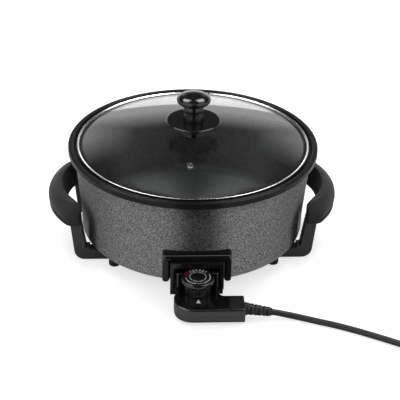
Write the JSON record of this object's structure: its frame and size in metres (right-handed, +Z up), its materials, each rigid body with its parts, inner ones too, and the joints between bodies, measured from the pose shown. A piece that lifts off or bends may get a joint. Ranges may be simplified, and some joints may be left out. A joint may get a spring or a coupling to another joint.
{
  "type": "electric skillet",
  "caption": "Round free-standing electric skillet with a lift-off domed glass lid, arched side handles on legs and a pull-out dial heat control on a mains lead.",
  "frame": {"origin": "on the worktop, under the axis of the round pan", "axes": "+Z up; -Y to the front, where the heat control is; +X to the right, where the mains lead goes"},
  "size_m": [0.5457, 0.4411, 0.2032],
  "materials": {
    "speckled_coat": "speckled grey non-stick coat",
    "heater_steel": "oxide-dulled tube",
    "bright_steel": "bright",
    "ceramic": "unglazed ceramic",
    "charcoal_plastic": "satin, fine grain",
    "black_gloss": "gloss",
    "black_satin": "satin",
    "rubber": "matt",
    "clear_glass": "clear tempered",
    "rim_steel": "polished",
    "screw_steel": "plated",
    "brass": "plain",
    "dial_print": "printed plate",
    "wire_cover": "smooth"
  },
  "bodies": {
    "pan": {"pan_body": "speckled_coat", "heating_element": "heater_steel", "terminal_pins": "bright_steel", "pin_insulators": "ceramic", "socket_collar": "black_satin", "socket_hood": "black_gloss", "hood_screws": "screw_steel", "socket_screws": "screw_steel", "left_grip": "charcoal_plastic", "right_grip": "charcoal_plastic", "front_left_leg": "charcoal_plastic", "rear_left_leg": "charcoal_plastic", "front_right_leg": "charcoal_plastic", "rear_right_leg": "charcoal_plastic", "grip_screws": "screw_steel", "leg_screws": "screw_steel", "base_feet": "rubber", "foot_screws": "screw_steel"},
    "lid": {"lid_glass": "clear_glass", "lid_rim": "rim_steel", "vent_eyelet": "rim_steel", "knob_guard": "black_gloss", "lid_knob": "black_gloss", "knob_insert": "brass", "knob_screw": "screw_steel", "screw_washer": "screw_steel", "upper_seal": "rubber", "lower_seal": "rubber"},
    "control": {"control_top": "black_gloss", "control_bottom": "black_satin", "case_screws": "screw_steel", "sensor_tube": "bright_steel", "contact_sleeves": "brass", "contact_block": "black_satin", "thermostat_frame": "bright_steel", "fixed_contact": "brass", "spindle_bush": "brass", "cord_clamp": "black_satin", "clamp_screws": "screw_steel", "wire_leads": "wire_cover", "strain_relief": "rubber", "power_cord": "rubber", "cord_coil": "rubber", "cord_tail": "rubber", "cord_tie": "rubber", "plug_body": "black_satin", "plug_pins": "bright_steel", "earth_clips": "brass"},
    "dial": {"dial_knob": "black_gloss", "dial_plate": "dial_print", "dial_spindle": "bright_steel"},
    "blade": {"contact_blade": "brass"}
  },
  "joints": [
    {"name": "lid_lift", "type": "slide", "parent": "pan", "child": "lid", "axis": [0, 0, 1], "range_m": [0, 0.15]},
    {"name": "control_pull", "type": "slide", "parent": "pan", "child": "control", "axis": [0, -1, 0], "range_m": [0, 0.09]},
    {"name": "dial_turn", "type": "hinge", "parent": "control", "child": "dial", "pos_m": [0, -0.16963, 0.03], "axis": [0, 0, -1], "range_deg": [0, 270]},
    {"name": "blade_flex", "type": "hinge", "parent": "control", "child": "blade", "pos_m": [0, -0.19003, 0.015], "axis": [-1, 0, 0], "range_deg": [0, 3]}
  ],
  "couplings": [
    {"joint": "blade_flex", "follows": "dial_turn", "ratio": 0.009259}
  ]
}
